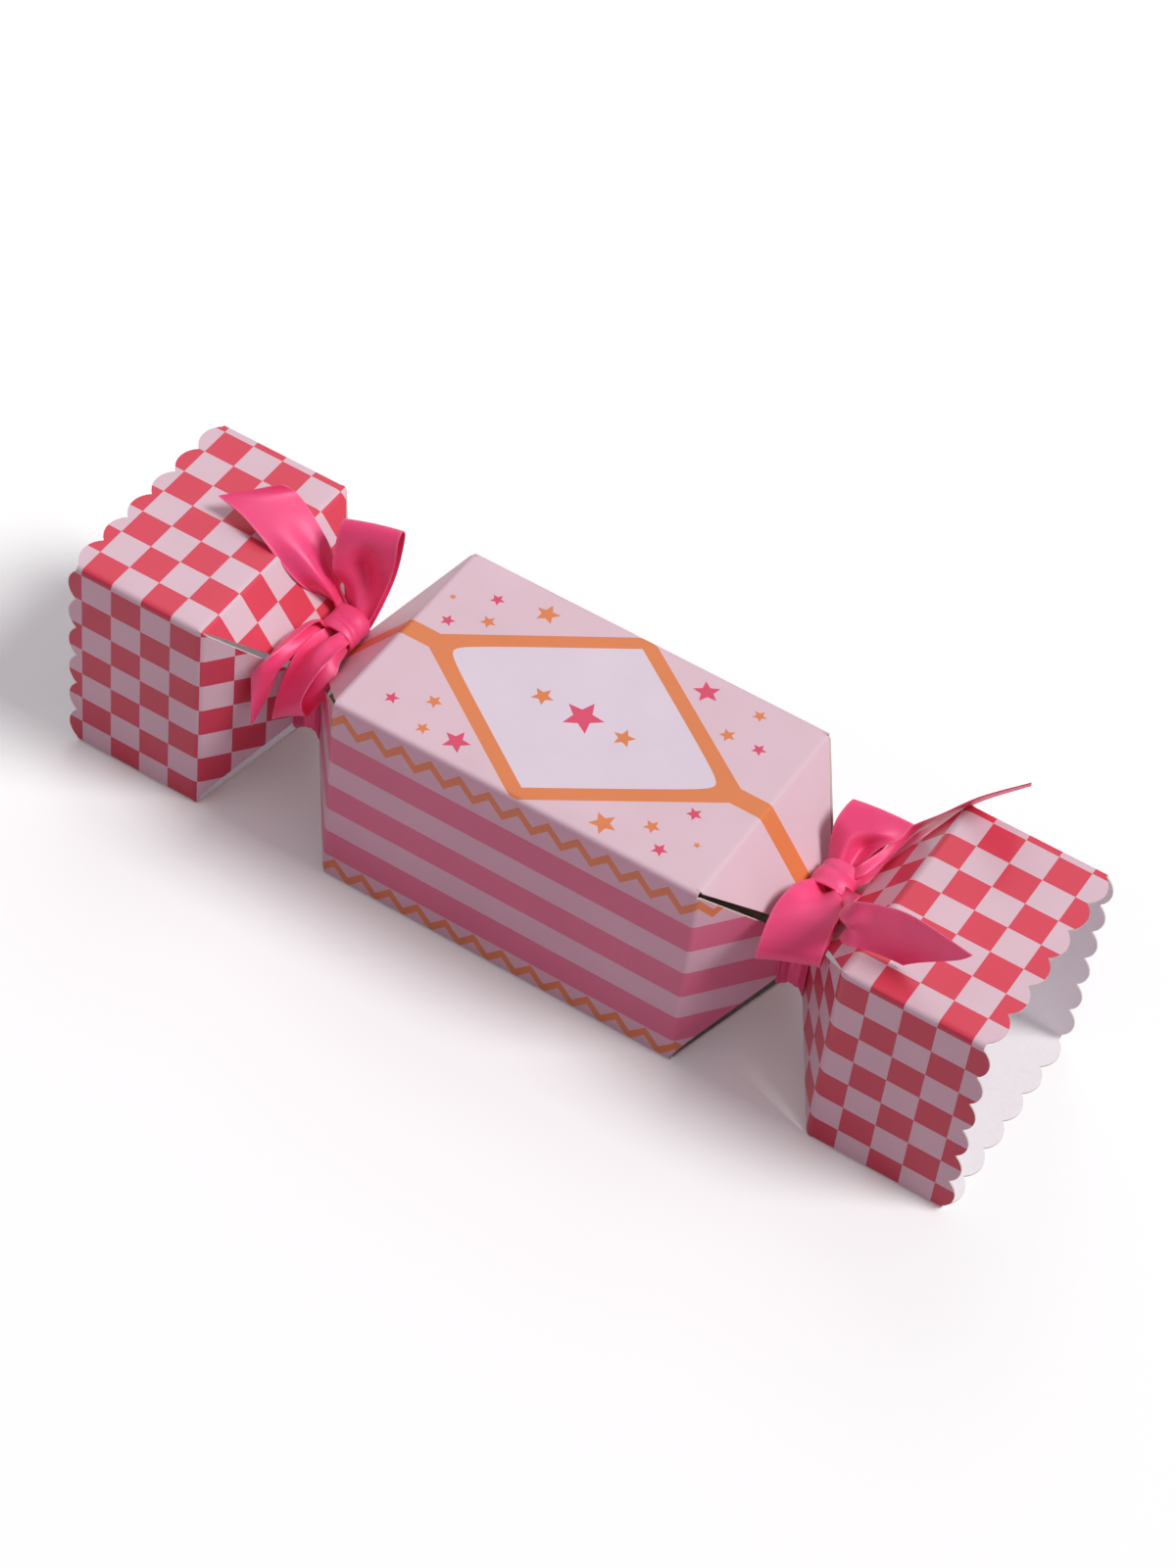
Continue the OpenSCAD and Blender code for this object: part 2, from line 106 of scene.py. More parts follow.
def pickOnly(piece):
    deselectAll()
    piece.select_set(True)
    bpy.context.view_layer.objects.active = piece


def useModifier(piece, kind, **settings):
    pickOnly(piece)
    modifier = piece.modifiers.new(kind.lower(), kind)
    for name, value in settings.items():
        setattr(modifier, name, value)
    bpy.ops.object.modifier_apply(modifier=modifier.name)


def joinPieces(name, pieces):
    pickOnly(pieces[0])
    for piece in pieces[1:]:
        piece.select_set(True)
    bpy.ops.object.join()
    joined = bpy.context.object
    joined.name = name
    joined.data.name = name
    return joined


def weld(piece, distance=0.002 * mm):
    pickOnly(piece)
    bpy.ops.object.mode_set(mode="EDIT")
    bpy.ops.mesh.select_all(action="SELECT")
    bpy.ops.mesh.remove_doubles(threshold=distance)
    bpy.ops.object.mode_set(mode="OBJECT")


def smoothByAngle(piece, degrees=32):
    pickOnly(piece)
    bpy.ops.object.shade_smooth_by_angle(angle=math.radians(degrees))


def dropFaces(piece, unwanted):
    pickOnly(piece)
    for polygon in piece.data.polygons:
        polygon.select = bool(unwanted(polygon.center / mm))
    bpy.ops.object.mode_set(mode="EDIT")
    bpy.ops.mesh.delete(type="FACE")
    bpy.ops.object.mode_set(mode="OBJECT")


def freshMap(piece):
    while piece.data.uv_layers:
        piece.data.uv_layers.remove(piece.data.uv_layers[0])
    return piece.data.uv_layers.new(name="print")


def gridPiece(name, columns, rows, place, mark):
    # a grid primitive whose points are moved, column by column, to where place(i, j) says, in mm,
    # with its own map for the print, filled by mark(i, j)
    deselectAll()
    bpy.ops.mesh.primitive_grid_add(x_subdivisions=columns, y_subdivisions=rows, size=1)
    piece = bpy.context.object
    piece.name = name
    piece.data.name = name
    index = [(round((v.co.x + 0.5) * columns), round((v.co.y + 0.5) * rows)) for v in piece.data.vertices]
    for vertex, (i, j) in zip(piece.data.vertices, index):
        vertex.co = Vector(place(i, j)) * mm
    layer = freshMap(piece)
    for loop in piece.data.loops:
        layer.data[loop.index].uv = mark(*index[loop.vertex_index])
    piece.data.update()
    return piece


def faceOut(piece, inward):
    # turns the whole sheet over if most of its faces point the way that inward(centre) gives
    against = sum(p.area * (1 if p.normal.dot(inward(p.center)) > 0 else -1) for p in piece.data.polygons)
    if against > 0:
        piece.data.flip_normals()


def toAxis(centre):
    # the way from a point of a wall to the middle line of the box
    return Vector((0, -centre.y, half * mm - centre.z))


def foldLine(points, radii, steps=7):
    # outside of a folded strip, as (x, height, length so far), each corner rounded to its radius
    line = []
    for i, corner in enumerate(points):
        p = Vector(corner)
        if radii[i] == 0:
            line.append(p)
            continue
        back = (Vector(points[i - 1]) - p).normalized()
        ahead = (Vector(points[i + 1]) - p).normalized()
        turn = math.pi - back.angle(ahead)
        reach = radii[i] * math.tan(turn / 2)
        middle = (back + ahead).normalized() * (radii[i] / math.cos(turn / 2))
        centre = p + middle
        start = p + back * reach - centre
        finish = p + ahead * reach - centre
        for k in range(steps + 1):
            share = k / steps
            spoke = start * math.sin((1 - share) * turn) + finish * math.sin(share * turn)
            line.append(centre + spoke / math.sin(turn))
    out = []
    length = 0.0
    for i, p in enumerate(line):
        length += (p - line[i - 1]).length if i else 0.0
        out.append((p.x, p.y, length))
    return out


def cutBetween(before, after, cuts):
    # equal steps from one station, left out, to the next
    return [tuple(b + (a - b) * j / cuts for b, a in zip(before, after)) for j in range(1, cuts + 1)]


def turnToSide(piece, k):
    middle = Matrix.Translation((0, 0, half * mm))
    piece.data.transform(middle @ Matrix.Rotation(math.radians(90 * k), 4, "X") @ middle.inverted())


def turnToEnd(piece, s):
    if s < 0:
        piece.data.transform(Matrix.Scale(-1, 4, (1, 0, 0)))
        piece.data.flip_normals()


def laterals(flatSteps, cornerSteps=3):
    # places across one wall: (way across, drop round the long fold, print's way across)
    places = []
    for j in range(flatSteps + 1):
        across = flatHalf * (2 * j / flatSteps - 1)
        places.append((across, 0.0, across))
    r = card["edgeRadius"]
    for j in range(1, cornerSteps + 1):
        a = math.radians(45 * j / cornerSteps)
        place = (flatHalf + r * math.sin(a), r * (1 - math.cos(a)), flatHalf + r * j / cornerSteps)
        places.append(place)
        places.insert(0, (-place[0], place[1], -place[2]))
    return places


# materials
def linear(r, g, b):
    def channel(c):
        c = c / 255
        return c / 12.92 if c <= 0.04045 else ((c + 0.055) / 1.055) ** 2.4
    return (channel(r), channel(g), channel(b), 1.0)


inks = {
    "palePink": linear(223, 194, 204),
    # a deeper copy of the pale pink for the front and back walls: painted shade
    "palePinkShadedSide": linear(222, 184, 199),
    "panelLilac": linear(223, 209, 221),
    "stripePink": linear(220, 108, 143),
    "orange": linear(225, 131, 76),
    "magenta": linear(220, 72, 106),
    "checkRed": linear(221, 70, 90),
    "checkRedShaded": linear(204, 52, 80),     # painted shade: deeper on the front and back
    "boardWhite": linear(246, 244, 246),
    "boardEdge": linear(214, 206, 192),
    "satin": linear(254, 77, 132),
    "stitch": linear(248, 160, 190),
}


class Shade:
    # a principled material with short names for the nodes that draw on it
    def __init__(self, name, **finish):
        self.material = bpy.data.materials.new(name)
        self.material.use_nodes = True
        self.tree = self.material.node_tree
        self.surface = self.tree.nodes["Principled BSDF"]
        for socket, value in finish.items():
            self.surface.inputs[socket.replace("_", " ")].default_value = value

    def node(self, kind, **settings):
        made = self.tree.nodes.new(kind)
        for name, value in settings.items():
            setattr(made, name, value)
        return made

    def link(self, out, socket):
        self.tree.links.new(out, socket)

    def feed(self, socket, value):
        if isinstance(value, bpy.types.NodeSocket):
            self.link(value, socket)
        else:
            socket.default_value = value

    def calc(self, operation, a, b=0.0, c=0.0):
        made = self.node("ShaderNodeMath", operation=operation)
        for socket, value in zip(made.inputs, (a, b, c)):
            self.feed(socket, value)
        return made.outputs[0]

    def most(self, values):
        top = values[0]
        for value in values[1:]:
            top = self.calc("MAXIMUM", top, value)
        return top

    def inside(self, value, centre, reach):
        return self.calc("LESS_THAN", self.calc("ABSOLUTE", self.calc("SUBTRACT", value, centre)), reach)

    def mix(self, share, a, b):
        made = self.node("ShaderNodeMix", data_type="RGBA")
        self.feed(made.inputs["Factor"], share)
        self.feed(made.inputs["A"], a)
        self.feed(made.inputs["B"], b)
        return made.outputs["Result"]

    def spread(self, value, low, high, toLow=0.0, toHigh=1.0):
        made = self.node("ShaderNodeMapRange")
        for socket, number in zip(made.inputs[:5], (value, low, high, toLow, toHigh)):
            self.feed(socket, number)
        return made.outputs[0]

    def place(self):
        return self.node("ShaderNodeTexCoord").outputs["Object"]

    def drawn(self, name="print"):
        return self.parts(self.node("ShaderNodeUVMap", uv_map=name).outputs[0])[:2]

    def parts(self, vector):
        split = self.node("ShaderNodeSeparateXYZ")
        self.link(vector, split.inputs[0])
        return split.outputs[0], split.outputs[1], split.outputs[2]

    def noise(self, scale, detail=3.0, roughness=0.55, vector=None):
        made = self.node("ShaderNodeTexNoise")
        made.inputs["Scale"].default_value = scale
        made.inputs["Detail"].default_value = detail
        made.inputs["Roughness"].default_value = roughness
        self.link(vector or self.place(), made.inputs["Vector"])
        return made.outputs[0]

    def bump(self, height, strength, distance):
        made = self.node("ShaderNodeBump")
        made.inputs["Strength"].default_value = strength
        made.inputs["Distance"].default_value = distance
        self.link(height, made.inputs["Height"])
        self.link(made.outputs[0], self.surface.inputs["Normal"])

    def colour(self, value):
        self.feed(self.surface.inputs["Base Color"], value)

    def uneven(self, colour, scale, low, high):
        # slight unevenness of ink or dye over the surface
        made = self.node("ShaderNodeMix", data_type="RGBA", blend_type="MULTIPLY")
        made.inputs["Factor"].default_value = 1.0
        self.feed(made.inputs["A"], colour)
        grey = self.spread(self.noise(scale), 0.3, 0.7, low, high)
        tint = self.node("ShaderNodeCombineColor")
        for socket in tint.inputs[:3]:
            self.link(grey, socket)
        self.link(tint.outputs[0], made.inputs["B"])
        return made.outputs["Result"]


def glossyCard(name, drawing):
    # litho print under a gloss coat: fine board tooth, soft waves in the sheet, ink a little uneven
    shade = Shade(name, Roughness=0.4, Coat_Weight=0.2, Coat_Roughness=0.18, Specular_IOR_Level=0.3)
    toothShare = 0.25
    shade.colour(shade.uneven(drawing(shade), scale=55.0, low=0.965, high=1.02))
    tooth = shade.calc("MULTIPLY", shade.noise(scale=2600.0, detail=2.0), toothShare)
    wave = shade.noise(scale=38.0, detail=1.0)
    shade.bump(shade.calc("ADD", tooth, wave), strength=0.35, distance=0.0002)
    return shade.material


# prints, in millimetres from the middle of their side
topPrint = {
    "frameSlope": 0.70,     # rise of the diamond's edges over their run
    "frameOuter": 32.5,     # half the diamond's width, outside and inside the orange frame
    "frameInner": 27.1,
    "cornerRound": 2.0,     # rounds the panel's left and right corners
    "cornerShift": 0.8,     # and takes its edges out again by this
    "stemHalf": 2.7,
    "stemStart": 36.0,
}

topStars = [
    # place along, place across, reach in mm, turn in degrees, ink
    (-25.0, 23.9, 3.35, 98, "orange"), (-37.6, 20.7, 2.0, 80, "magenta"),
    (-35.4, 13.0, 2.15, 72, "orange"), (-43.7, 7.5, 2.0, 98, "magenta"),
    (-47.0, 15.0, 1.05, 85, "orange"), (20.1, 24.9, 3.6, -92, "magenta"),
    (34.5, 25.7, 1.95, 80, "orange"), (31.3, 15.7, 2.2, 62, "orange"),
    (39.8, 16.1, 2.0, 82, "magenta"), (-31.7, -17.0, 2.2, 80, "orange"),
    (-40.6, -22.0, 2.0, 100, "magenta"), (-29.2, -25.9, 1.95, 90, "orange"),
    (-20.4, -24.7, 3.7, 90, "magenta"), (37.6, -10.7, 2.1, 66, "magenta"),
    (31.4, -20.0, 2.25, 76, "orange"), (43.0, -18.7, 1.05, 88, "orange"),
    (36.5, -25.1, 2.15, 84, "magenta"), (21.5, -25.9, 3.6, 68, "orange"),
    # plain stars in the panel
    (0.0, 0.0, 5.4, 90, "magenta"), (-11.5, 0.0, 3.0, 78, "orange"), (11.5, 0.0, 3.0, 102, "orange"),
]


def starMark():
    # node group: 1 inside a five-pointed star at Place, reaching Reach, one point turned to Turn
    group = bpy.data.node_groups.new("starMark", "ShaderNodeTree")
    for name in ("Along", "Across", "PlaceAlong", "PlaceAcross", "Reach", "Turn"):
        group.interface.new_socket(name, in_out="INPUT", socket_type="NodeSocketFloat")
    group.interface.new_socket("Mark", in_out="OUTPUT", socket_type="NodeSocketFloat")
    given = group.nodes.new("NodeGroupInput").outputs
    result = group.nodes.new("NodeGroupOutput").inputs
    pointTaper = 2.35       # run of a point's side over its rise
    pointHalf = math.radians(36)

    def calc(operation, a, b=0.0, c=0.0):
        made = group.nodes.new("ShaderNodeMath")
        made.operation = operation
        for socket, value in zip(made.inputs, (a, b, c)):
            if isinstance(value, bpy.types.NodeSocket):
                group.links.new(value, socket)
            else:
                socket.default_value = value
        return made.outputs[0]

    dx = calc("SUBTRACT", given["Along"], given["PlaceAlong"])
    dy = calc("SUBTRACT", given["Across"], given["PlaceAcross"])
    far = calc("SQRT", calc("MULTIPLY_ADD", dx, dx, calc("MULTIPLY", dy, dy)))
    turned = calc("SUBTRACT", calc("ARCTAN2", dy, dx), given["Turn"])
    folded = calc("PINGPONG", turned, pointHalf)
    along = calc("MULTIPLY", far, calc("COSINE", folded))
    across = calc("MULTIPLY", far, calc("SINE", folded))
    edge = calc("MULTIPLY_ADD", across, pointTaper, along)
    group.links.new(calc("LESS_THAN", edge, given["Reach"]), result["Mark"])
    return group


def drawTop(shade):
    # pale pink, an orange diamond frame from edge to edge, a stem to each flap, and scattered stars
    along, across = shade.drawn()
    ax, ay = shade.calc("ABSOLUTE", along), shade.calc("ABSOLUTE", across)
    frameSlope = topPrint["frameSlope"]
    outer = shade.calc("LESS_THAN", shade.calc("MULTIPLY_ADD", ax, frameSlope, ay), topPrint["frameOuter"])
    rounded = shade.calc("SQRT", shade.calc("MULTIPLY_ADD", ay, ay, topPrint["cornerRound"] ** 2))
    soft = shade.calc("SUBTRACT", rounded, topPrint["cornerShift"])
    panel = shade.calc("LESS_THAN", shade.calc("MULTIPLY_ADD", ax, frameSlope, soft), topPrint["frameInner"])
    narrow = shade.calc("LESS_THAN", ay, topPrint["stemHalf"])
    stem = shade.calc("MULTIPLY", narrow, shade.calc("GREATER_THAN", ax, topPrint["stemStart"]))
    ink = shade.mix(shade.most([outer, stem]), inks["palePink"], inks["orange"])
    ink = shade.mix(panel, ink, inks["panelLilac"])
    group = starMark()
    marks = {"magenta": [], "orange": []}
    for x, y, reach, turn, name in topStars:
        star = shade.node("ShaderNodeGroup", node_tree=group)
        shade.link(along, star.inputs["Along"])
        shade.link(across, star.inputs["Across"])
        places = {"PlaceAlong": x, "PlaceAcross": y, "Reach": reach, "Turn": math.radians(turn)}
        for socket, value in places.items():
            star.inputs[socket].default_value = value
        marks[name].append(star.outputs[0])
    for name in marks:
        ink = shade.mix(shade.most(marks[name]), ink, inks[name])
    return ink


sidePrint = {
    "stripes": (46.9, 29.7, 12.6),      # heights of their middles over the bottom
    "stripeHalf": 4.5,
    "zigzags": (57.6, 4.1),             # likewise
    "period": 8.27,
    "peak": 1.92,
    "rise": 4.4,
    "strokeHalf": 1.5,
}


def drawSide(shade):
    # broad pink stripes along the box, and an orange zigzag along each long edge
    along, height = shade.drawn()
    stripes = [shade.inside(height, z, sidePrint["stripeHalf"]) for z in sidePrint["stripes"]]
    # the pale ground here is the deeper copy of the pale pink: painted shade on the front and back walls
    ink = shade.mix(shade.most(stripes), inks["palePinkShadedSide"], inks["stripePink"])
    wave = shade.calc("PINGPONG", shade.calc("SUBTRACT", along, sidePrint["peak"]), sidePrint["period"] / 2)
    wave = shade.calc("MULTIPLY", wave, -2 * sidePrint["rise"] / sidePrint["period"])
    lines = []
    for z in sidePrint["zigzags"]:
        centre = shade.calc("ADD", wave, z + sidePrint["rise"] / 2)
        lines.append(shade.inside(height, centre, sidePrint["strokeHalf"]))
    return shade.mix(shade.most(lines), ink, inks["orange"])


checkPrint = {
    "square": 8.85,
    "offset": {"left": 1.64, "right": 3.1},     # from the rim to the first edge between squares
    # top, front, bottom, back: squares counted already, mm from the side's middle, the way the count runs
    "rounds": [(0, 24.0, 1), (0, 29.75, -1), (7, 32.15, -1), (7, 25.15, 1)],
}


def countSquares(k, gap, across, offset):
    # squares counted from the rim and round the sleeve, so that they run on over the long folds
    before, start, way = checkPrint["rounds"][k]
    return (gap - offset) / checkPrint["square"], before + (start + way * across) / checkPrint["square"]


def drawChecks(shade):
    # the print's own map counts squares, so a square is red where its two counts add to an odd number
    along, across = shade.drawn()
    count = shade.calc("ADD", shade.calc("FLOOR", along), shade.calc("FLOOR", across))
    odd = shade.calc("PINGPONG", count, 1.0)
    _, y, z = shade.parts(shade.place())
    # painted shade: the red is deeper where the surface lies further out to the front or back than up or down
    height = shade.calc("ABSOLUTE", shade.calc("SUBTRACT", z, half * mm))
    shadedSide = shade.calc("GREATER_THAN", shade.calc("ABSOLUTE", y), height)
    red = shade.mix(shadedSide, inks["checkRed"], inks["checkRedShaded"])
    return shade.mix(shade.calc("GREATER_THAN", odd, 0.5), inks["palePink"], red)


def plainBoard(name, colour, roughness):
    # unprinted face of the board, with its fibres
    shade = Shade(name, Roughness=roughness)
    shade.colour(shade.uneven(colour, scale=900.0, low=0.97, high=1.01))
    shade.bump(shade.noise(scale=3200.0, detail=4.0), strength=0.4, distance=0.0001)
    return shade.material


weave = {
    "selvedge": (7.25, 7.5),    # mm from the ribbon's middle: the stitched edge starts, and is full
    "stitch": 0.32,             # half the length of a stitch with its gap
    "stitchGap": 0.17,          # half the length of the gap alone
    "stitchTint": 0.3,
    "stitchHeight": 1.2,
    "floatsAlong": 0.5,         # the long floats' noise changes slowly along and quickly across
    "floatsAcross": 7.0,
    "floatHeight": 0.5,
    "ridges": 14.0,             # radians a millimetre along
    "ridgeHeight": 0.12,
}


def satinRibbon():
    # satin weave along the ribbon, a stitched selvedge at both edges, and a faint change of tone
    shade = Shade("satinRibbon", Roughness=0.43, Specular_IOR_Level=1.0, Anisotropic=0.6,
                  Subsurface_Weight=0.4, Subsurface_Scale=0.0008, Sheen_Weight=0.2, Sheen_Roughness=0.4)
    shade.surface.inputs["Subsurface Radius"].default_value = (1.0, 0.06, 0.2)
    shade.surface.inputs["Sheen Tint"].default_value = linear(255, 190, 215)
    shade.surface.inputs["Specular Tint"].default_value = linear(255, 196, 226)
    along, across = shade.drawn("weave")
    selvedge = shade.spread(shade.calc("ABSOLUTE", across), *weave["selvedge"])
    thread = shade.calc("GREATER_THAN", shade.calc("PINGPONG", along, weave["stitch"]), weave["stitchGap"])
    stitch = shade.calc("MULTIPLY", thread, selvedge)
    tone = shade.uneven(inks["satin"], scale=160.0, low=0.95, high=1.03)
    shade.colour(shade.mix(shade.calc("MULTIPLY", stitch, weave["stitchTint"]), tone, inks["stitch"]))
    stretched = shade.node("ShaderNodeCombineXYZ")
    shade.link(shade.calc("MULTIPLY", along, weave["floatsAlong"]), stretched.inputs[0])
    shade.link(shade.calc("MULTIPLY", across, weave["floatsAcross"]), stretched.inputs[1])
    floats = shade.noise(scale=1.0, detail=2.0, roughness=0.5, vector=stretched.outputs[0])
    wave = shade.calc("SINE", shade.calc("MULTIPLY", along, weave["ridges"]))
    ridge = shade.calc("MULTIPLY", wave, weave["ridgeHeight"])
    height = shade.calc("ADD", shade.calc("MULTIPLY", floats, weave["floatHeight"]), ridge)
    height = shade.calc("ADD", height, shade.calc("MULTIPLY", stitch, weave["stitchHeight"]))
    shade.bump(height, strength=0.35, distance=0.00012)
    tangent = shade.node("ShaderNodeTangent", direction_type="UV_MAP", uv_map="weave")
    shade.link(tangent.outputs[0], shade.surface.inputs["Tangent"])
    return shade.material


materials = {
    "top": glossyCard("topPrint", drawTop),
    "side": glossyCard("sidePrint", drawSide),
    "checks": glossyCard("checkPrint", drawChecks),
    "inside": plainBoard("boardInside", inks["boardWhite"], 0.55),
    "edge": plainBoard("boardEdge", inks["boardEdge"], 0.8),
    "satin": satinRibbon(),
}
print("materials made")


def giveBoard(piece, prints):
    # first the printed faces' slots, then the same count of inside slots, then of cut edges
    for material in prints + [materials["inside"]] * len(prints) + [materials["edge"]] * len(prints):
        piece.data.materials.append(material)


def thicken(piece, printCount):
    useModifier(piece, "SOLIDIFY", thickness=card["thickness"] * mm, offset=-1.0, use_even_offset=True,
                material_offset=printCount, material_offset_rim=2 * printCount)
    smoothByAngle(piece)


def gluedTab(x0, x1, slant):
    # the long seam's tab, folded in behind the front wall
    deselectAll()
    bpy.ops.mesh.primitive_cube_add(size=1)
    tab = bpy.context.object
    size = Vector((x1 - x0, card["thickness"], card["tabWidth"]))
    inward = -half + 1.5 * card["thickness"] + card["tabGap"]
    middle = card["edgeRadius"] + card["tabWidth"] / 2
    centre = Vector(((x0 + x1) / 2, inward, middle))
    tab.data.transform(Matrix.Translation(centre * mm) @ Matrix.Diagonal((size * mm).to_4d()))
    pickOnly(tab)
    bpy.ops.object.mode_set(mode="EDIT")
    bpy.ops.mesh.select_all(action="SELECT")
    bpy.ops.mesh.bevel(offset=card["tabBevel"] * mm, segments=1)
    bpy.ops.object.mode_set(mode="OBJECT")
    # the tab's free edge runs in towards its ends, as it was cut
    for vertex in tab.data.vertices:
        if vertex.co.z / mm > middle:
            atLow = vertex.co.x / mm < centre.x
            vertex.co.x += (slant if atLow else -slant) * mm
    freshMap(tab)
    return tab


def addTab(tube, x0, x1, slant, boardSlot):
    tab = gluedTab(x0, x1, slant)
    for material in tube.data.materials:
        tab.data.materials.append(material)
    for polygon in tab.data.polygons:
        polygon.material_index = boardSlot
    return joinPieces(tube.name, [tube, tab])


def printPlace(k, x, across):
    # the print's own place on a side: along the box, then across the panel or up the wall
    if k % 2 == 0:
        return x, across
    return x, half + across if k == sides["front"] else half - across


def bodyTube():
    foldStart = card["foldStart"]
    places = laterals(12)
    stations = [-creaseX, -foldStart] + [foldStart * (j / 4 - 1) for j in range(1, 8)] + [foldStart, creaseX]

    def place(i, j):
        return stations[i], places[j][0], 2 * half - places[j][1]

    walls = []
    for k in sides.values():
        def mark(i, j, k=k):
            return printPlace(k, stations[i], places[j][2])
        wall = gridPiece("wall", len(stations) - 1, len(places) - 1, place, mark)
        # beyond the flat walls only the long folds go on, between the flaps' strips
        dropFaces(wall, lambda c: abs(c.x) > foldStart and abs(c.y) < flatHalf)
        giveBoard(wall, [materials["top"], materials["side"]])
        for polygon in wall.data.polygons:
            polygon.material_index = k % 2
        turnToSide(wall, k)
        walls.append(wall)
    tube = joinPieces("cardBody", walls)
    weld(tube)
    faceOut(tube, toAxis)
    thicken(tube, 2)
    return addTab(tube, -creaseX + 3, creaseX - 3, slant=2.5, boardSlot=2)


def halfAtNeck(k):
    return card["neck"] / 2 - card["neckInset"] + (card["under"] if k == sides["bottom"] else 0)


def lowerTrim(part, k, way, distance):
    # cut off the lower edge of a front or back slope, growing close to the crease
    lower = way if k == sides["back"] else -way
    if k % 2 == 0 or lower <= 0:
        return 0.0
    return card["lowerTrim"][part] * clamped(distance / card["trimGrowth"])


def flapPanel(k):
    # one flap with its soft crease and a strip of wall behind it, drawn at the right end of the top side
    inner = Vector((creaseX, half - card["thickness"]))
    out = inner + Vector((math.sin(slope), math.cos(slope))) * card["thickness"]
    corner = out.x - (half - out.y) / math.tan(slope)
    tipX = neckX - card["tear"]
    tip = half - (tipX - corner) * math.tan(slope)
    line = foldLine([(card["foldStart"], half), (corner, half), (tipX, tip)], [0, card["bodyCrease"], 0])
    line = line[:-1] + cutBetween(line[-2], line[-1], 8)
    wide = half - card["creaseInset"]
    narrow = halfAtNeck(k)
    steps = 12

    def wayAcross(i, j):
        beyond = line[i][0] - creaseX
        held = clamped(1 - (beyond - card["shoulderHold"]) / card["shoulderFade"])
        way = 2 * j / steps - 1
        sloped = wide + (narrow - wide) * clamped(beyond / card["run"])
        return (sloped - card["shoulder"] * held - lowerTrim("body", k, way, beyond)) * way

    def place(i, j):
        return line[i][0], wayAcross(i, j), half + line[i][1]

    def mark(i, j):
        return printPlace(k, card["foldStart"] + line[i][2], wayAcross(i, j))

    panel = gridPiece("flap", len(line) - 1, steps, place, mark)
    faceOut(panel, lambda c: Vector((-1, 0, half * mm - c.z)))
    return panel


def endFlaps():
    flaps = []
    for end, s in ends.items():
        for side, k in sides.items():
            flap = flapPanel(k)
            turnToSide(flap, k)
            turnToEnd(flap, s)
            if s < 0:
                for entry in flap.data.uv_layers["print"].data:
                    entry.uv.x = -entry.uv.x
            flap.name = flap.data.name = "cardFlap_%s_%s" % (end, side)
            giveBoard(flap, [materials["top" if k % 2 == 0 else "side"]])
            thicken(flap, 1)
            node = "flap_%s_%s" % (end, side)
            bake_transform(flap)
            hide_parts(node)
            flaps.append(flap)
    return flaps


def sleeveStations(crease, lean):
    # the neck, flare and tube of an end sleeve, from neck to rim, with extra stations on long stretches
    neckTop = card["neck"] / 2
    corners = [(neckX, neckTop), (flareX - lean, neckTop), (crease, half), (rimX - card["rimStrip"], half)]
    line = foldLine(corners + [(rimX, half)], [0, card["neckCrease"], card["endCrease"], 0, 0])
    longStretch = 8
    stations = [line[0]]
    for before, after in zip(line, line[1:]):
        stations += cutBetween(before, after, 6 if after[0] - before[0] > longStretch else 1)
    return stations


def endSleeve(end, s):
    lean = 0.5 * card["thickness"] * math.tan(slope / 2)
    crease = endX - lean
    tubeStart = crease + card["endCrease"] * math.tan(slope / 2)
    line = sleeveStations(crease, lean)
    places = laterals(10 * card["scallops"])
    pitch = 2 * flatHalf / card["scallops"]
    arc = (pitch * pitch / 4 + card["scallopRise"] ** 2) / (2 * card["scallopRise"])
    wide = half - card["creaseInset"]
    paper = flatHalf + card["edgeRadius"] * math.pi / 4

    def acrossAt(i, j, k):
        # way across, drop and print: flat on the flare, and turning round the long folds on the tube
        x = line[i][0]
        across, drop, flat = places[j]
        narrow = halfAtNeck(k)
        share = clamped((x - flareX) / (endX - flareX))
        free = flat / paper * (narrow + (wide - narrow) * share - lowerTrim(end, k, flat, endX - x))
        curl = clamped((x - endX + card["foldLead"]) / (tubeStart - endX + card["foldLead"]))
        return free + (across - free) * curl, drop * curl * curl, free + (flat - free) * curl

    def rimRise(i, across):
        if i < len(line) - 1 or abs(across) > flatHalf - 0.001:
            return 0.0
        off = (across + flatHalf) % pitch - pitch / 2
        return math.sqrt(arc * arc - off * off) - (arc - card["scallopRise"])

    walls = []
    for k in sides.values():
        def place(i, j, k=k):
            across, drop, _ = acrossAt(i, j, k)
            return line[i][0] + rimRise(i, places[j][0]), across, half + line[i][1] - drop

        def mark(i, j, k=k):
            gap = line[-1][2] - line[i][2] - rimRise(i, places[j][0])
            return countSquares(k, gap, acrossAt(i, j, k)[2], checkPrint["offset"][end])
        wall = gridPiece("wall", len(line) - 1, len(places) - 1, place, mark)
        turnToSide(wall, k)
        turnToEnd(wall, s)
        walls.append(wall)
    sleeve = joinPieces("cardEnd_" + end, walls)
    weld(sleeve)
    faceOut(sleeve, lambda c: Vector((-s, 0, 0)) if abs(c.x / mm) < tubeStart else toAxis(c))
    giveBoard(sleeve, [materials["checks"]])
    thicken(sleeve, 1)
    x0, x1 = sorted((s * (tubeStart + 0.2), s * (rimX - 1)))
    sleeve = addTab(sleeve, x0, x1, slant=1.0, boardSlot=1)
    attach(sleeve, end + "_end")
    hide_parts("end_sleeve_" + end)
    return sleeve


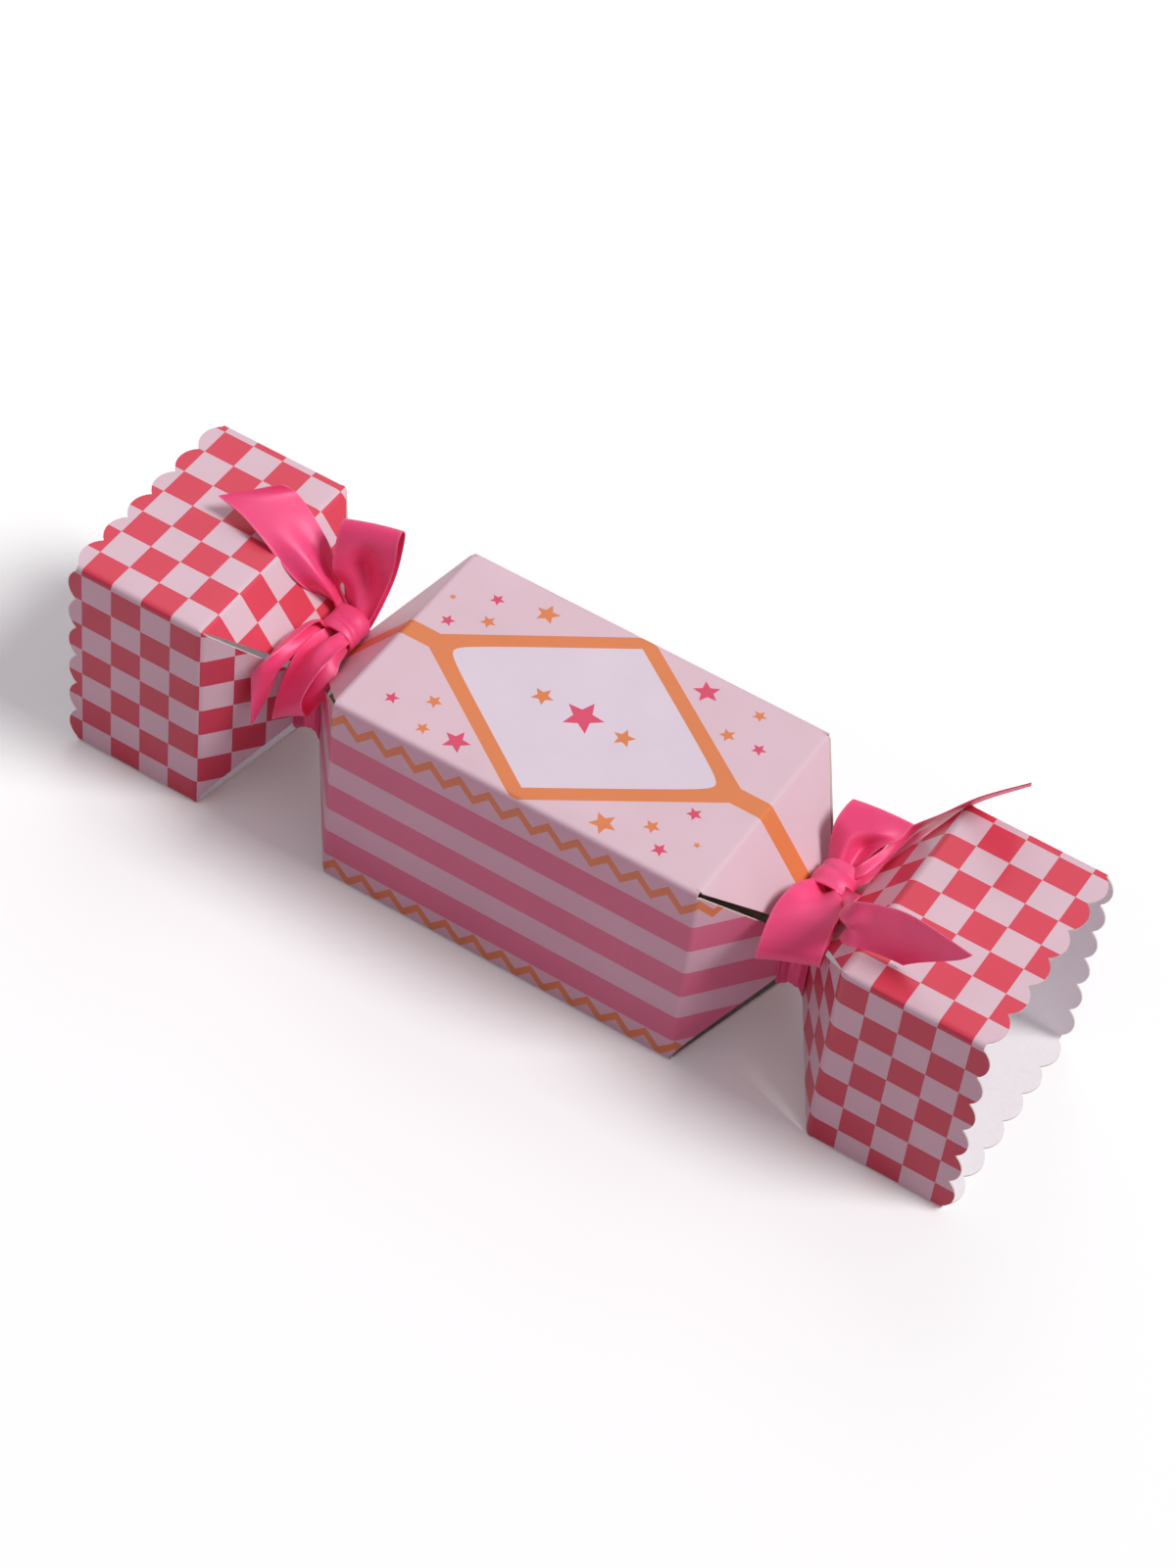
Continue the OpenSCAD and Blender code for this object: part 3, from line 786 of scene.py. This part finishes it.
# the two satin bows, in millimetres
bow = {
    "ribbonWidth": 15.9,
    "thickness": 0.3,
    "knotBack": 3.0,
    "knotZ": 47.5,
    "rise": 16.0,           # from a knot's middle to the top of the box
    "bandHalf": 3.65,
    "bandFloor": 9.62,      # half width of the square the band is drawn round
    "bandLift": 0.75,       # from there to the band's outside in the groove
    "bandMean": 1.0,        # and as taken for the band's length
    "bandCorner": 1.7,
    "bandPleatRise": 0.1,
    "grooveHalf": 1.6,      # a band is flat this far from the neck's middle and rises beyond
    "grooveRise": 1.02,
    "knotRadius": 4.3,
    "knotWidth": 10.8,
    "knotLength": 9.1,
    "knotFloor": 43.0,      # height of its underside, on the band
    "stepsAcross": 28,
    "stepsPerSpan": 12,
    "arch": 0.35,           # how far a strand's middle and edges bow apart
    "pleatFill": 0.95,      # share of a gathered strand's spare width that its pleats take up
    "pleatDrift": 0.35,     # and how far they wander across it in each span
}

# one entry a strand: the CAD's stations with small changes, and a root further inside the knot
strands = {
    # stations: centre, way across, share of the ribbon's width; then how it is pleated, dented and cut
    "loop_upper_left": {"stations": [
        [(0.03, 0.18, 0.09), (1, 0, 0.1), 0.4], [(0.05, 0.31, 0.15), (1, 0, 0.1), 0.48],
        [(0.05, 0.42, 0.5), (0.95, 0.2, 0.2), 0.66], [(0, 0.45, 0.97), (0.9, 0.36, 0.26), 1],
        [(-0.04, 0.58, 1.47), (0.95, 0.25, 0.2), 1], [(-0.08, 0.78, 1.61), (0.96, 0.2, 0.16), 1],
        [(-0.11, 0.92, 1.35), (0.96, 0.2, 0.1), 1], [(-0.06, 0.73, 0.63), (0.97, 0.2, 0), 0.85],
        [(0.05, 0.31, -0.02), (1, 0, 0), 0.48], [(0.03, 0.18, -0.04), (1, 0, 0), 0.4]],
        "pleats": 1.3, "phase": 0.6, "fold": 0.9,
        "dents": [(2.8, -0.05, 3.8, 0.7, 0.42), (2.0, 0.0, 1.6, 0.6, 0.36)]},
    "loop_lower_left": {"stations": [
        [(0.03, -0.18, 0.09), (1, 0, 0.2), 0.4], [(0.05, -0.31, 0.14), (1, 0, 0.2), 0.48],
        [(0.07, -0.85, 0.31), (0.85, 0.05, 0.5), 0.75], [(0.1, -1.32, 0.15), (0.7, -0.07, 0.7), 0.95],
        [(0.03, -1.55, -0.35), (0.62, -0.2, 0.76), 1], [(0.05, -1.54, -0.62), (0.72, -0.15, 0.68), 1],
        [(0.07, -1.37, -0.31), (0.83, -0.1, 0.5), 0.95], [(0.08, -0.88, 0.14), (0.94, 0, 0.28), 0.7],
        [(0.05, -0.31, 0.0), (1, 0, 0.1), 0.45], [(0.03, -0.18, -0.02), (1, 0, 0.1), 0.4]],
        "pleats": 1.3, "phase": 2.2, "fold": 1.2, "dents": [(6.6, 1.1, 2.2, 1.1, 0.55)]},
    "tail_upper_left": {"stations": [
        [(-0.16, 0.18, 0.04), (0.3, 0, 0.95), 0.28], [(-0.33, 0.32, 0.13), (0.3, 0, 0.95), 0.3],
        [(-0.62, 0.18, 0.64), (0.4, 0.85, 0.25), 0.62], [(-0.91, 0.21, 0.94), (0.48, 0.87, 0), 0.85],
        [(-1.35, 0.33, 1.19), (0.45, 0.88, 0), 0.95], [(-1.82, 0.48, 1.31), (0.52, 0.84, 0.05), 1],
        [(-2.14, 0.43, 1.43), (0.75, 0.63, 0.2), 1]],
        "pleats": 1.3, "phase": 0.4, "fold": 1.3},
    "tail_lower_left": {"stations": [
        [(-0.16, -0.18, 0.04), (0.2, 0, -0.95), 0.28], [(-0.33, -0.32, 0.14), (0.2, 0, -0.95), 0.3],
        [(-0.34, -0.94, 0.27), (0.1, 0.3, -0.95), 0.5], [(-0.43, -1.47, 0), (0, 0.36, -0.92), 0.92],
        [(-0.57, -1.7, -0.52), (0.13, -0.14, -0.98), 1]],
        "pleats": 1.5, "phase": 1.0, "fold": 1.6},
    "loop_upper_right": {"stations": [
        [(-0.03, 0.18, 0.08), (1, 0, -0.1), 0.4], [(-0.05, 0.31, 0.13), (1, 0, -0.1), 0.48],
        [(-0.03, 0.57, 0.36), (0.95, 0.25, -0.05), 0.7], [(0.06, 0.84, 0.53), (0.95, 0.28, -0.1), 1],
        [(0.11, 1.14, 0.65), (0.95, 0.15, -0.05), 1], [(0.09, 1.22, 0.48), (0.96, 0.12, -0.05), 0.95],
        [(0, 0.87, 0.26), (0.97, 0.1, -0.05), 0.7], [(-0.05, 0.31, -0.05), (1, 0, 0), 0.48],
        [(-0.03, 0.18, -0.05), (1, 0, 0), 0.4]],
        "pleats": 1.2, "phase": 1.4, "fold": 1.0,
        "dents": [(1.95, 0.42, 2.0, 0.5, 0.34), (2.8, 0.4, -0.9, 0.45, 0.5)]},
    "loop_lower_right": {"stations": [
        [(-0.03, -0.18, 0.09), (1, 0, 0), 0.4], [(-0.05, -0.31, 0.14), (1, 0, 0), 0.48],
        [(0.05, -0.72, 0.36), (0.98, 0.17, 0), 0.85], [(0.09, -1.19, 0.39), (0.95, 0.1, 0.2), 1],
        [(0.19, -1.71, 0.24), (0.93, 0.21, 0.25), 1], [(0.19, -1.7, 0.02), (0.93, 0.2, 0.25), 1],
        [(0.1, -1.17, 0.14), (0.95, 0.12, 0.22), 0.95], [(0.04, -0.7, 0.14), (0.98, 0.1, 0.1), 0.8],
        [(-0.05, -0.31, -0.04), (1, 0, 0), 0.48], [(-0.03, -0.18, -0.05), (1, 0, 0), 0.4]],
        "pleats": 1.2, "phase": 0.2, "fold": 1.2},
    "tail_front_right": {"stations": [
        [(0.18, -0.18, 0.06), (0.1, 0, -0.95), 0.26], [(0.38, -0.31, 0.2), (0.1, 0, -0.95), 0.28],
        [(0.68, -0.9, 0.74), (0.12, -0.12, -0.95), 0.6], [(0.93, -1.69, 1.42), (0.08, -0.05, -0.98), 0.78],
        [(1.35, -1.66, 1.56), (0, -0.05, -1), 0.97], [(1.88, -1.6, 1.58), (0, -0.08, -1), 1],
        [(2.88, -1.66, 1.55), (0, 0.02, -1), 1]],
        "pleats": 1.3, "phase": 0.8, "fold": 1.6, "cut": 0.03},
    "tail_back_right": {"stations": [
        [(0.16, 0.18, 0.04), (0.2, 0, -0.95), 0.28], [(0.33, 0.32, 0.16), (0.2, 0, -0.95), 0.3],
        [(0.42, 0.9, 0.13), (0, 0.52, -0.85), 0.4], [(0.52, 1.52, 0.06), (-0.05, 0.52, -0.85), 0.82],
        [(0.85, 1.78, 0.38), (-0.12, 0.56, -0.82), 1], [(1.32, 1.87, 1.06), (-0.2, 0.58, -0.79), 1],
        [(2.02, 1.9, 1.85), (-0.2, 0.62, -0.75), 1]],
        "pleats": 1.3, "phase": 1.9, "fold": 1.3},
}


def knotPlace(s):
    return Vector((s * bowX, bow["knotBack"], bow["knotZ"]))


def grooveOver(x):
    # rise of the band's outside, x from the neck's middle
    return max(0.0, abs(x) - bow["grooveHalf"]) * bow["grooveRise"]


def lengthsAlong(points):
    run = [0.0]
    for before, after in zip(points, points[1:]):
        run.append(run[-1] + (after - before).length)
    return run


def blendOf(values, at):
    # smooth curve through a list of vectors or numbers, at a place counted in spans
    i = min(len(values) - 2, max(0, int(at)))
    t = at - i
    a, b, c, d = (values[min(len(values) - 1, max(0, n))] for n in (i - 1, i, i + 1, i + 2))
    curve = a * 2 - b * 5 + c * 4 - d
    twist = b * 3 - a - c * 3 + d
    return (b * 2 + (c - a) * t + curve * t * t + twist * t * t * t) / 2


def ribbonStrand(name, s):
    given = strands[name]
    pleats, fold, phase = given["pleats"], given["fold"], given["phase"]
    width = bow["ribbonWidth"]
    knot = knotPlace(s)
    centres = [Vector((p[0] * width, p[1] * width, p[2] * bow["rise"])) for p, _, _ in given["stations"]]
    across = [Vector(v).normalized() for _, v, _ in given["stations"]]
    shares = [w for _, _, w in given["stations"]]
    spans = len(centres) - 1
    steps = spans * bow["stepsPerSpan"]
    wide = bow["stepsAcross"]
    # length along the middle, for the weave's own map
    run = lengthsAlong([blendOf(centres, spans * k / steps) for k in range(steps + 1)])

    def frameAt(at):
        near = 0.05
        ahead = blendOf(centres, min(spans, at + near)) - blendOf(centres, max(0, at - near))
        side = blendOf(across, at).normalized()
        return blendOf(centres, at), side, ahead.cross(side).normalized(), blendOf(shares, at)

    def place(i, j):
        u = 2 * j / wide - 1
        at = spans * i / steps
        if "cut" in given and at > spans - 1:
            # the slanted end: the last span runs its full length at one edge only
            at = spans - 1 + (at - spans + 1) * (given["cut"] + (1 - given["cut"]) * (1 - u) / 2)
        centre, side, face, share = frameAt(at)
        # the width that a gathered strand has to spare stands up in pleats
        spare = math.sqrt(max(0.0, 1 / share - 1))
        rise = min(fold, bow["pleatFill"] * share * width / (math.pi * pleats) * spare)
        rise *= max(0.0, 1 - share ** 6)
        lift = rise * math.sin(2 * math.pi * pleats * (u / 2 + 0.5) + phase + bow["pleatDrift"] * at)
        lift += bow["arch"] * share * (u * u - 0.33)
        for placed, off, depth, reachAlong, reachAcross in given.get("dents", ()):
            lift += depth * math.exp(-((at - placed) / reachAlong) ** 2 - ((u - off) / reachAcross) ** 2)
        return knot + centre + side * (u * share * width / 2) + face * lift

    def mark(i, j):
        return run[i], (2 * j / wide - 1) * width / 2

    return finishRibbon(gridPiece("ribbonStrand", steps, wide, place, mark), 0.0), run[-1]


def foldedStrip(reach, inset, backLow, backHigh, count):
    # section of a ribbon folded in behind itself at both sides: (way across, way in, way across the ribbon)
    corner = inset / 2
    bend = [(corner * math.sin(math.pi * k / 6), corner * math.cos(math.pi * k / 6)) for k in range(7)]
    points = [(-reach + backLow, inset)]
    points += [(-reach - out, corner + up) for out, up in bend]
    points += [(reach * (2 * k / count - 1), 0.0) for k in range(1, count)]
    points += [(reach + out, corner - up) for out, up in bend]
    points += [(reach - backHigh, inset)]
    run = lengthsAlong([Vector(point) for point in points])
    return [(x, inward, length - run[-1] / 2) for (x, inward), length in zip(points, run)]


def ribbonRing(name, section, around, place, length):
    # a strip wrapped round and closed on itself, with the weave's map in millimetres
    ring = gridPiece(name, around, len(section) - 1, place, lambda i, j: (length * i / around, section[j][2]))
    return finishRibbon(ring, -1.0), length


def ribbonBand(s):
    # the ribbon drawn round the neck, lying in the groove between the slopes
    around = 120
    section = foldedStrip(bow["bandHalf"], inset=0.45, backLow=1.6, backHigh=2.4, count=20)
    cornerGrowth, cornerFrom = 1.9, 0.9
    broadWave, fineWave = 2.1, 4.3

    def heightOver(x, inward, turn):
        soft = math.sin(broadWave * x + 0.7 * math.sin(turn) + s)
        soft += 0.5 * math.sin(fineWave * x + math.cos(2 * turn))
        return bow["bandFloor"] + bow["bandLift"] + grooveOver(x) + bow["bandPleatRise"] * soft - inward

    def onSquare(h, share):
        # a point of a square of half width h, share of the way round; the corners are cut where the slits are
        corner = bow["bandCorner"] + cornerGrowth * max(0.0, h - bow["bandFloor"] - cornerFrom)
        flat = h - corner
        side = 2 * flat + corner * math.pi / 2
        at = (share % 1.0) * 4 * side
        k = int(at // side) % 4
        at -= k * side
        if at < 2 * flat:
            p = Vector((at - flat, h))
        else:
            a = (at - 2 * flat) / corner
            p = Vector((flat + corner * math.sin(a), flat + corner * math.cos(a)))
        p.rotate(Matrix.Rotation(-k * math.pi / 2, 2))
        return p

    def place(i, j):
        x, inward, _ = section[j]
        share = (i % around) / around
        p = onSquare(heightOver(x, inward, 2 * math.pi * share), share)
        return s * bowX + x, p.x, half + p.y

    length = 8 * (bow["bandFloor"] + bow["bandMean"]) - (8 - 2 * math.pi) * bow["bandCorner"]
    return ribbonRing("ribbonBand", section, around, place, length)


def ribbonKnot(s):
    # the wrap over the middle, folded in at its lips and drawn tight over the loops
    around = 96
    section = foldedStrip(bow["knotLength"] / 2 - 0.35, inset=0.6, backLow=2.0, backHigh=3.3, count=24)
    sideX = bow["knotWidth"] / 2 - bow["knotRadius"]
    pleatRise, pleatWave = 0.13, 5.2
    pinchDepth, pinchWidth = 0.16, 0.12
    barrel = 0.06

    def place(i, j):
        turn = 2 * math.pi * (i % around) / around
        y, inward, _ = section[j]
        u = y / bow["knotLength"] * 2
        pleat = pleatRise * math.sin(pleatWave * u + 0.8 * math.sin(turn) + 2.2 * s)
        pinch = pinchDepth * math.exp(-((u - 0.35 * s + 0.2 * math.sin(turn)) / pinchWidth) ** 2)
        radius = bow["knotRadius"] * (1 - barrel * u * u) + (pleat - pinch) - inward
        x = sideX * math.tanh(3 * math.sin(turn)) + radius * math.sin(turn)
        z = radius * math.cos(turn)
        # the underside lies on the band
        low = bow["knotFloor"] - bow["knotZ"] + grooveOver(x) + 0.1 - inward * 0.1
        return knotPlace(s) + Vector((x, y + 0.35 * math.sin(turn) * s, max(z, low)))

    length = lengthsAlong([place(i, len(section) // 2) for i in range(around + 1)])[-1]
    return ribbonRing("ribbonKnot", section, around, place, length)


def finishRibbon(piece, offset):
    piece.data.uv_layers["print"].name = "weave"
    weld(piece)
    if offset < 0:
        # rings: the outer layer faces out, and the thickness goes in
        middle = sum((v.co for v in piece.data.vertices), Vector()) / len(piece.data.vertices)
        outer = max(piece.data.polygons, key=lambda polygon: polygon.center.z)
        if outer.normal.dot(outer.center - middle) < 0:
            piece.data.flip_normals()
    piece.data.materials.append(materials["satin"])
    useModifier(piece, "SOLIDIFY", thickness=bow["thickness"] * mm, offset=offset, use_even_offset=False)
    smoothByAngle(piece, 60)
    return piece


def tieRibbons():
    made = []
    for end, s in ends.items():
        made.append((*ribbonBand(s), "ribbon_band_" + end, "gathered"))
        made.append((*ribbonKnot(s), "ribbon_knot_" + end, "folded"))
        for name in strands:
            if name.endswith(end):
                made.append((*ribbonStrand(name, s), "ribbon_" + name, "folded"))
    for piece, length, node, held in made:
        piece.name = piece.data.name = "satin_" + node[len("ribbon_"):]
        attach(piece, node.rsplit("_", 1)[1] + "_end")
        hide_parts(node)
    return made


body = bodyTube()
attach(body, "box_body")
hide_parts("body_sleeve")
flaps = endFlaps()
sleeves = [endSleeve(end, s) for end, s in ends.items()]
print("card made:", 1 + len(flaps) + len(sleeves), "pieces")
bows = tieRibbons()
print("ribbons tied:", len(bows), "pieces")


# the snap and the things inside stay as the CAD made them, and get their own materials
def innerPaper(name, colour, roughness, grain, relief, sheen=0.0):
    shade = Shade(name, Roughness=roughness, Sheen_Weight=sheen)
    shade.colour(shade.uneven(colour, grain, low=0.9, high=1.03))
    shade.bump(shade.noise(grain * 6, detail=4.0), strength=relief, distance=0.0002)
    return shade.material


def turnedWood(name):
    shade = Shade(name, Roughness=0.45, Coat_Weight=0.2, Coat_Roughness=0.25)
    rings = shade.node("ShaderNodeTexWave", wave_type="BANDS", bands_direction="X")
    for socket, value in (("Scale", 180.0), ("Distortion", 6.0), ("Detail", 3.0), ("Detail Scale", 1.5)):
        rings.inputs[socket].default_value = value
    shade.link(shade.place(), rings.inputs["Vector"])
    shade.colour(shade.mix(rings.outputs[1], linear(214, 152, 84), linear(182, 122, 62)))
    shade.bump(rings.outputs[1], strength=0.2, distance=0.0001)
    return shade.material


snapCard = innerPaper("snapCard", linear(184, 161, 133), 0.8, grain=700.0, relief=0.4)
insideLooks = {
    "snap_strip_left": snapCard,
    "snap_strip_right": snapCard,
    "snap_charge_patch": innerPaper("snapCharge", linear(140, 143, 148), 0.9, grain=1500.0, relief=0.6),
    "snap_abrasive_patch": innerPaper("snapAbrasive", linear(107, 74, 59), 0.95, grain=2500.0, relief=0.8),
    "snap_sleeve": innerPaper("snapPaper", linear(217, 199, 166), 0.7, grain=500.0, relief=0.4),
    "paper_crown": innerPaper("crownTissue", linear(128, 181, 168), 0.75, grain=400.0, relief=0.6, sheen=0.3),
    "motto_roll": innerPaper("mottoPaper", linear(242, 237, 224), 0.65, grain=500.0, relief=0.3),
    "spinning_top": turnedWood("turnedWood"),
}
for node, look in insideLooks.items():
    for slot in bpy.data.objects[node].material_slots:
        slot.link = "OBJECT"
        slot.material = look
print("materials given to", len(insideLooks), "pieces inside")


# camera of the photograph: its focal length in millimetres, its place in metres and its own axes
photo = {
    "sensorHeight": 36,
    "focal": 91.74,
    "near": 0.01,
    "far": 20,
    "place": (0.28602, -0.58378, 0.77042),
    "right": (0.84804, 0.52226, 0.08984),
    "back": (0.28938, -0.59842, 0.74710),
}
lens = bpy.data.cameras.new("photoCamera")
lens.sensor_fit = "VERTICAL"
lens.sensor_height = photo["sensorHeight"]
lens.lens = photo["focal"]
lens.clip_start = photo["near"]
lens.clip_end = photo["far"]
camera = bpy.data.objects.new("photoCamera", lens)
bpy.context.scene.collection.objects.link(camera)
right = Vector(photo["right"]).normalized()
back = Vector(photo["back"]).normalized()
view = Matrix((right, back.cross(right).normalized(), back)).transposed().to_4x4()
view.translation = Vector(photo["place"])
camera.matrix_world = view
bpy.context.scene.camera = camera

# floor and light: a pale floor, a broad sun high on the right, and a wide soft lamp behind on the left
studio = {
    "key": {"kind": "SUN", "from": (0.6, 0.16, 0.8), "strength": 2.2, "angle": 22},
    "back": {"kind": "AREA", "from": (-0.42, 0.86, 1.08), "size": 0.9, "strength": 2.2},
    "sky": 0.34,
    "skyTint": (1.0, 0.87, 0.95, 1.0),
    "floorSize": 6,
    "floorSeen": (0.97, 1.0, 0.985, 1.0),
    "floorBounce": (0.52, 0.35, 0.42, 1.0),
    "floorLift": 0.09,
}
deselectAll()
bpy.ops.mesh.primitive_plane_add(size=studio["floorSize"])
floor = bpy.context.object
floor.name = "studioFloor"
cover = Shade("studioFloor", Roughness=0.9)
rays = cover.node("ShaderNodeLightPath")
seen = cover.most([rays.outputs[name] for name in ("Is Camera Ray", "Is Glossy Ray", "Is Transmission Ray")])
cover.colour(cover.mix(seen, studio["floorBounce"], studio["floorSeen"]))
cover.surface.inputs["Emission Color"].default_value = (1.0, 1.0, 1.0, 1.0)
cover.link(cover.calc("MULTIPLY", seen, studio["floorLift"]), cover.surface.inputs["Emission Strength"])
cover.bump(cover.noise(scale=300.0, detail=2.0), strength=0.05, distance=0.0002)
floor.data.materials.append(cover.material)

for name in ("key", "back"):
    given = studio[name]
    lamp = bpy.data.lights.new(name + "Light", given["kind"])
    lamp.energy = given["strength"]
    if given["kind"] == "SUN":
        lamp.angle = math.radians(given["angle"])
    else:
        lamp.shape = "DISK"
        lamp.size = given["size"]
    stand = bpy.data.objects.new(name + "Light", lamp)
    bpy.context.scene.collection.objects.link(stand)
    place = Vector(given["from"])
    pose = place.to_track_quat("Z", "Y").to_matrix().to_4x4()
    pose.translation = place
    stand.matrix_world = pose

world = bpy.data.worlds.new("studioSky")
bpy.context.scene.world = world
world.use_nodes = True
world.node_tree.nodes["Background"].inputs["Color"].default_value = studio["skyTint"]
world.node_tree.nodes["Background"].inputs["Strength"].default_value = studio["sky"]
bpy.context.scene.view_settings.view_transform = "Standard"
print("stage set")
